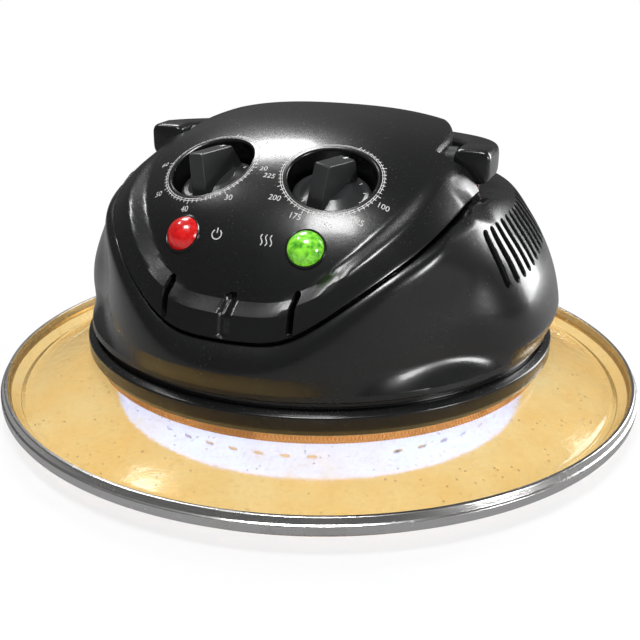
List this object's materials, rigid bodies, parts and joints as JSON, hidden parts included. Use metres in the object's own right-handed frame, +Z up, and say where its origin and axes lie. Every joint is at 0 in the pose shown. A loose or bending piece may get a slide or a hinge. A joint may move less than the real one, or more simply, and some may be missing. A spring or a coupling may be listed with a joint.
{
  "type": "halogen oven head",
  "caption": "Domed heater head of a halogen oven on its round glass lid, with recessed knobs, indicator lamps, vented side pods, a folding handle and a guarded ring heater with a fan.",
  "frame": {"origin": "on the central axis of the lid, on the surface that the heater guard stands on", "axes": "+Z up along the fan's axis, the console and nose face -Y, +X to the right of someone facing the console"},
  "size_m": [0.34, 0.34, 0.1489],
  "materials": {
    "black_gloss": "moulded, high gloss",
    "black_satin": "moulded, satin",
    "black_ring": "moulded, gloss",
    "knob_black": "moulded, satin",
    "lens_red": "clear tinted lens",
    "lens_green": "clear tinted lens",
    "lid_glass": "heat-resistant glass with a warm tint",
    "rim_steel": "polished rolled rim",
    "guard_white": "heat-resistant white enamel",
    "steel": "bright sheet and wire",
    "pin_steel": "ground bar",
    "tube_quartz": "frosted quartz",
    "ceramic": "unglazed",
    "gasket": "woven heat-resistant cord",
    "insulation": "pressed mineral fibre",
    "iron_core": "stacked laminations",
    "copper": "wound enamelled wire",
    "nylon": "moulded",
    "dark_nylon": "moulded",
    "plunger_red": "moulded"
  },
  "bodies": {
    "head": {"base_ring": "black_ring", "housing": "black_gloss", "top_cover": "black_satin", "timer_body": "steel", "thermostat_body": "steel", "sensor_bulb": "copper", "power_lamp": "lens_red", "heat_lamp": "lens_green", "lamp_holders": "dark_nylon", "pivot_bushes": "dark_nylon", "safety_switch": "dark_nylon", "motor_core": "iron_core", "motor_coil": "copper", "lower_bracket": "steel", "upper_bracket": "steel", "motor_posts": "steel", "base_plate": "steel", "insulation": "insulation", "heat_shield": "steel", "heater_guard": "guard_white", "guard_grille": "steel", "halogen_tube": "tube_quartz", "tube_ends": "ceramic", "tube_clips": "steel", "gasket": "gasket", "glass_lid": "lid_glass", "lid_rim": "rim_steel", "thermal_cutout": "ceramic", "terminal_block": "nylon", "inlet_bush": "dark_nylon", "base_screws": "steel"},
    "handle_bail": {"handle": "knob_black", "pivot_pins": "pin_steel"},
    "timer_dial": {"timer_knob": "knob_black", "timer_shaft": "pin_steel"},
    "thermostat_dial": {"thermostat_knob": "knob_black", "thermostat_shaft": "pin_steel"},
    "rotor_unit": {"motor_shaft": "pin_steel", "rotor": "iron_core", "cooling_fan": "dark_nylon", "convection_fan": "steel", "fan_nut": "steel"},
    "plunger": {"switch_plunger": "plunger_red"}
  },
  "joints": [
    {"name": "handle_fold", "type": "hinge", "parent": "head", "child": "handle_bail", "pos_m": [0, -0.002, 0.1315], "axis": [1, 0, 0], "range_deg": [0, 90]},
    {"name": "timer_turn", "type": "hinge", "parent": "head", "child": "timer_dial", "pos_m": [-0.03, -0.0637, 0.1342], "axis": [0.1283, 0.3256, -0.9368], "range_deg": [0, 270]},
    {"name": "thermostat_turn", "type": "hinge", "parent": "head", "child": "thermostat_dial", "pos_m": [0.03, -0.0637, 0.1342], "axis": [-0.1283, 0.3256, -0.9368], "range_deg": [0, 270]},
    {"name": "fan_spin", "type": "hinge", "parent": "head", "child": "rotor_unit", "pos_m": [0, 0, 0.06], "axis": [0, 0, 1], "continuous": true},
    {"name": "plunger_slide", "type": "slide", "parent": "head", "child": "plunger", "axis": [0, 0, 1], "range_m": [0, 0.003]}
  ],
  "couplings": [
    {"joint": "plunger_slide", "follows": "handle_fold", "m_per_rad": 0.0019098}
  ]
}
